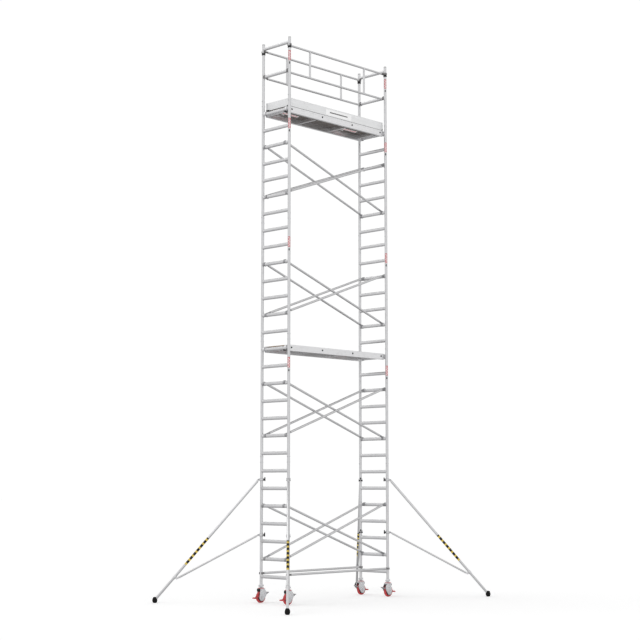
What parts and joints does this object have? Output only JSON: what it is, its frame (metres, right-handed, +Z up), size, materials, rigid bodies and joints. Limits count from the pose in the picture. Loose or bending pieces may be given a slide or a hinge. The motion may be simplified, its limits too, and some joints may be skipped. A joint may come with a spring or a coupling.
{
  "type": "mobile tower scaffold",
  "caption": "Aluminium mobile tower scaffold on braked castors, with ladder frames, diagonal braces, hatch decks, guardrails, toe boards and swing-out stabilisers.",
  "frame": {"origin": "centre of the tower's footprint on the ground, midway between the four legs", "axes": "+Z up; +X along the tower's long side; +Y towards the back long side"},
  "size_m": [5.1848, 3.3148, 9.828],
  "materials": {
    "aluminium_tube": "satin extruded",
    "aluminium_casting": "sand-cast matt",
    "plywood": "dark phenolic film",
    "toe_board": "satin",
    "zinc_steel": "bright zinc plated",
    "red_tyre": "matt polyurethane",
    "dark_rim": "matt",
    "red_paint": "satin powder coat",
    "black_rubber": "matt",
    "black_plastic": "satin"
  },
  "bodies": {
    "root": {"base_braces": "aluminium_tube", "brace_claws": "aluminium_casting", "brace_tubes": "aluminium_tube", "deck_bolts": "zinc_steel", "deck_claws": "aluminium_casting", "deck_panels": "plywood", "guard_frames": "aluminium_tube", "guardrail_claws": "aluminium_casting", "guardrails": "aluminium_tube", "ladder_frames_level_1": "aluminium_tube", "ladder_frames_level_2": "aluminium_tube", "ladder_frames_level_3": "aluminium_tube", "ladder_frames_level_4": "aluminium_tube", "mid_deck_frame": "aluminium_tube", "post_end_plugs": "black_plastic", "snap_pins": "zinc_steel", "toe_boards": "toe_board", "top_deck_frame": "aluminium_tube"},
    "leg_front_left": {"castor_spindle_front_left": "zinc_steel"},
    "jack_nut_front_left": {"jack_nut_front_left": "zinc_steel"},
    "fork_front_left": {"castor_fork_front_left": "zinc_steel"},
    "wheel_front_left": {"castor_tyre_front_left": "red_tyre", "castor_rim_front_left": "dark_rim"},
    "brake_lever_front_left": {"brake_lever_front_left": "red_paint"},
    "stabiliser_front_left": {"stabiliser_front_left": "aluminium_tube", "stabiliser_foot_front_left": "black_rubber"},
    "knob_upper_front_left": {"clamp_knob_upper_front_left": "black_plastic"},
    "knob_lower_front_left": {"clamp_knob_lower_front_left": "black_plastic"},
    "leg_front_right": {"castor_spindle_front_right": "zinc_steel"},
    "jack_nut_front_right": {"jack_nut_front_right": "zinc_steel"},
    "fork_front_right": {"castor_fork_front_right": "zinc_steel"},
    "wheel_front_right": {"castor_tyre_front_right": "red_tyre", "castor_rim_front_right": "dark_rim"},
    "brake_lever_front_right": {"brake_lever_front_right": "red_paint"},
    "stabiliser_front_right": {"stabiliser_front_right": "aluminium_tube", "stabiliser_foot_front_right": "black_rubber"},
    "knob_upper_front_right": {"clamp_knob_upper_front_right": "black_plastic"},
    "knob_lower_front_right": {"clamp_knob_lower_front_right": "black_plastic"},
    "leg_back_left": {"castor_spindle_back_left": "zinc_steel"},
    "jack_nut_back_left": {"jack_nut_back_left": "zinc_steel"},
    "fork_back_left": {"castor_fork_back_left": "zinc_steel"},
    "wheel_back_left": {"castor_tyre_back_left": "red_tyre", "castor_rim_back_left": "dark_rim"},
    "brake_lever_back_left": {"brake_lever_back_left": "red_paint"},
    "stabiliser_back_left": {"stabiliser_back_left": "aluminium_tube", "stabiliser_foot_back_left": "black_rubber"},
    "knob_upper_back_left": {"clamp_knob_upper_back_left": "black_plastic"},
    "knob_lower_back_left": {"clamp_knob_lower_back_left": "black_plastic"},
    "leg_back_right": {"castor_spindle_back_right": "zinc_steel"},
    "jack_nut_back_right": {"jack_nut_back_right": "zinc_steel"},
    "fork_back_right": {"castor_fork_back_right": "zinc_steel"},
    "wheel_back_right": {"castor_tyre_back_right": "red_tyre", "castor_rim_back_right": "dark_rim"},
    "brake_lever_back_right": {"brake_lever_back_right": "red_paint"},
    "stabiliser_back_right": {"stabiliser_back_right": "aluminium_tube", "stabiliser_foot_back_right": "black_rubber"},
    "knob_upper_back_right": {"clamp_knob_upper_back_right": "black_plastic"},
    "knob_lower_back_right": {"clamp_knob_lower_back_right": "black_plastic"},
    "mid_hatch": {"mid_hatch": "plywood"},
    "top_hatch": {"top_hatch": "plywood"}
  },
  "joints": [
    {"name": "jack_slide_front_left", "type": "slide", "parent": "root", "child": "leg_front_left", "axis": [0, 0, -1], "range_m": [0, 0.2]},
    {"name": "jack_nut_turn_front_left", "type": "hinge", "parent": "root", "child": "jack_nut_front_left", "pos_m": [-1.265, -0.33, 0.288], "axis": [0, 0, 1], "range_deg": [0, 9001]},
    {"name": "castor_swivel_front_left", "type": "hinge", "parent": "leg_front_left", "child": "fork_front_left", "pos_m": [-1.265, -0.33, 0.232], "axis": [0, 0, 1], "continuous": true},
    {"name": "wheel_spin_front_left", "type": "hinge", "parent": "fork_front_left", "child": "wheel_front_left", "pos_m": [-1.275, -0.33, 0.1], "axis": [0, 1, 0], "continuous": true},
    {"name": "brake_front_left", "type": "hinge", "parent": "fork_front_left", "child": "brake_lever_front_left", "pos_m": [-1.273, -0.33, 0.168], "axis": [0, 1, 0], "range_deg": [0, 10]},
    {"name": "stabiliser_swing_front_left", "type": "hinge", "parent": "root", "child": "stabiliser_front_left", "pos_m": [-1.265, -0.33, 1.62], "axis": [0, 0, 1], "range_deg": [-45, 45]},
    {"name": "clamp_knob_upper_front_left", "type": "hinge", "parent": "stabiliser_front_left", "child": "knob_upper_front_left", "pos_m": [-1.22855, -0.29355, 2.095], "axis": [0.7071, 0.7071, 0], "range_deg": [0, 1080]},
    {"name": "clamp_knob_lower_front_left", "type": "hinge", "parent": "stabiliser_front_left", "child": "knob_lower_front_left", "pos_m": [-1.22855, -0.29355, 1.148], "axis": [0.7071, 0.7071, 0], "range_deg": [0, 1080]},
    {"name": "jack_slide_front_right", "type": "slide", "parent": "root", "child": "leg_front_right", "axis": [0, 0, -1], "range_m": [0, 0.2]},
    {"name": "jack_nut_turn_front_right", "type": "hinge", "parent": "root", "child": "jack_nut_front_right", "pos_m": [1.265, -0.33, 0.288], "axis": [0, 0, 1], "range_deg": [0, 9001]},
    {"name": "castor_swivel_front_right", "type": "hinge", "parent": "leg_front_right", "child": "fork_front_right", "pos_m": [1.265, -0.33, 0.232], "axis": [0, 0, 1], "continuous": true},
    {"name": "wheel_spin_front_right", "type": "hinge", "parent": "fork_front_right", "child": "wheel_front_right", "pos_m": [1.275, -0.33, 0.1], "axis": [0, 1, 0], "continuous": true},
    {"name": "brake_front_right", "type": "hinge", "parent": "fork_front_right", "child": "brake_lever_front_right", "pos_m": [1.273, -0.33, 0.168], "axis": [0, -1, 0], "range_deg": [0, 10]},
    {"name": "stabiliser_swing_front_right", "type": "hinge", "parent": "root", "child": "stabiliser_front_right", "pos_m": [1.265, -0.33, 1.62], "axis": [0, 0, 1], "range_deg": [-45, 45]},
    {"name": "clamp_knob_upper_front_right", "type": "hinge", "parent": "stabiliser_front_right", "child": "knob_upper_front_right", "pos_m": [1.22855, -0.29355, 2.095], "axis": [-0.7071, 0.7071, 0], "range_deg": [0, 1080]},
    {"name": "clamp_knob_lower_front_right", "type": "hinge", "parent": "stabiliser_front_right", "child": "knob_lower_front_right", "pos_m": [1.22855, -0.29355, 1.148], "axis": [-0.7071, 0.7071, 0], "range_deg": [0, 1080]},
    {"name": "jack_slide_back_left", "type": "slide", "parent": "root", "child": "leg_back_left", "axis": [0, 0, -1], "range_m": [0, 0.2]},
    {"name": "jack_nut_turn_back_left", "type": "hinge", "parent": "root", "child": "jack_nut_back_left", "pos_m": [-1.265, 0.33, 0.288], "axis": [0, 0, 1], "range_deg": [0, 9001]},
    {"name": "castor_swivel_back_left", "type": "hinge", "parent": "leg_back_left", "child": "fork_back_left", "pos_m": [-1.265, 0.33, 0.232], "axis": [0, 0, 1], "continuous": true},
    {"name": "wheel_spin_back_left", "type": "hinge", "parent": "fork_back_left", "child": "wheel_back_left", "pos_m": [-1.275, 0.33, 0.1], "axis": [0, 1, 0], "continuous": true},
    {"name": "brake_back_left", "type": "hinge", "parent": "fork_back_left", "child": "brake_lever_back_left", "pos_m": [-1.273, 0.33, 0.168], "axis": [0, 1, 0], "range_deg": [0, 10]},
    {"name": "stabiliser_swing_back_left", "type": "hinge", "parent": "root", "child": "stabiliser_back_left", "pos_m": [-1.265, 0.33, 1.62], "axis": [0, 0, 1], "range_deg": [-45, 45]},
    {"name": "clamp_knob_upper_back_left", "type": "hinge", "parent": "stabiliser_back_left", "child": "knob_upper_back_left", "pos_m": [-1.22855, 0.29355, 2.095], "axis": [0.7071, -0.7071, 0], "range_deg": [0, 1080]},
    {"name": "clamp_knob_lower_back_left", "type": "hinge", "parent": "stabiliser_back_left", "child": "knob_lower_back_left", "pos_m": [-1.22855, 0.29355, 1.148], "axis": [0.7071, -0.7071, 0], "range_deg": [0, 1080]},
    {"name": "jack_slide_back_right", "type": "slide", "parent": "root", "child": "leg_back_right", "axis": [0, 0, -1], "range_m": [0, 0.2]},
    {"name": "jack_nut_turn_back_right", "type": "hinge", "parent": "root", "child": "jack_nut_back_right", "pos_m": [1.265, 0.33, 0.288], "axis": [0, 0, 1], "range_deg": [0, 9001]},
    {"name": "castor_swivel_back_right", "type": "hinge", "parent": "leg_back_right", "child": "fork_back_right", "pos_m": [1.265, 0.33, 0.232], "axis": [0, 0, 1], "continuous": true},
    {"name": "wheel_spin_back_right", "type": "hinge", "parent": "fork_back_right", "child": "wheel_back_right", "pos_m": [1.275, 0.33, 0.1], "axis": [0, 1, 0], "continuous": true},
    {"name": "brake_back_right", "type": "hinge", "parent": "fork_back_right", "child": "brake_lever_back_right", "pos_m": [1.273, 0.33, 0.168], "axis": [0, -1, 0], "range_deg": [0, 10]},
    {"name": "stabiliser_swing_back_right", "type": "hinge", "parent": "root", "child": "stabiliser_back_right", "pos_m": [1.265, 0.33, 1.62], "axis": [0, 0, 1], "range_deg": [-45, 45]},
    {"name": "clamp_knob_upper_back_right", "type": "hinge", "parent": "stabiliser_back_right", "child": "knob_upper_back_right", "pos_m": [1.22855, 0.29355, 2.095], "axis": [-0.7071, -0.7071, 0], "range_deg": [0, 1080]},
    {"name": "clamp_knob_lower_back_right", "type": "hinge", "parent": "stabiliser_back_right", "child": "knob_lower_back_right", "pos_m": [1.22855, 0.29355, 1.148], "axis": [-0.7071, -0.7071, 0], "range_deg": [0, 1080]},
    {"name": "mid_hatch_lift", "type": "hinge", "parent": "root", "child": "mid_hatch", "pos_m": [-0.776, 0.2355, 4.409], "axis": [-1, 0, 0], "range_deg": [0, 95]},
    {"name": "top_hatch_lift", "type": "hinge", "parent": "root", "child": "top_hatch", "pos_m": [0.776, 0.2355, 8.609], "axis": [-1, 0, 0], "range_deg": [0, 95]}
  ],
  "couplings": [
    {"joint": "jack_nut_turn_front_left", "follows": "jack_slide_front_left", "rad_per_m": 785.4},
    {"joint": "jack_nut_turn_front_right", "follows": "jack_slide_front_right", "rad_per_m": 785.4},
    {"joint": "jack_nut_turn_back_left", "follows": "jack_slide_back_left", "rad_per_m": 785.4},
    {"joint": "jack_nut_turn_back_right", "follows": "jack_slide_back_right", "rad_per_m": 785.4}
  ]
}
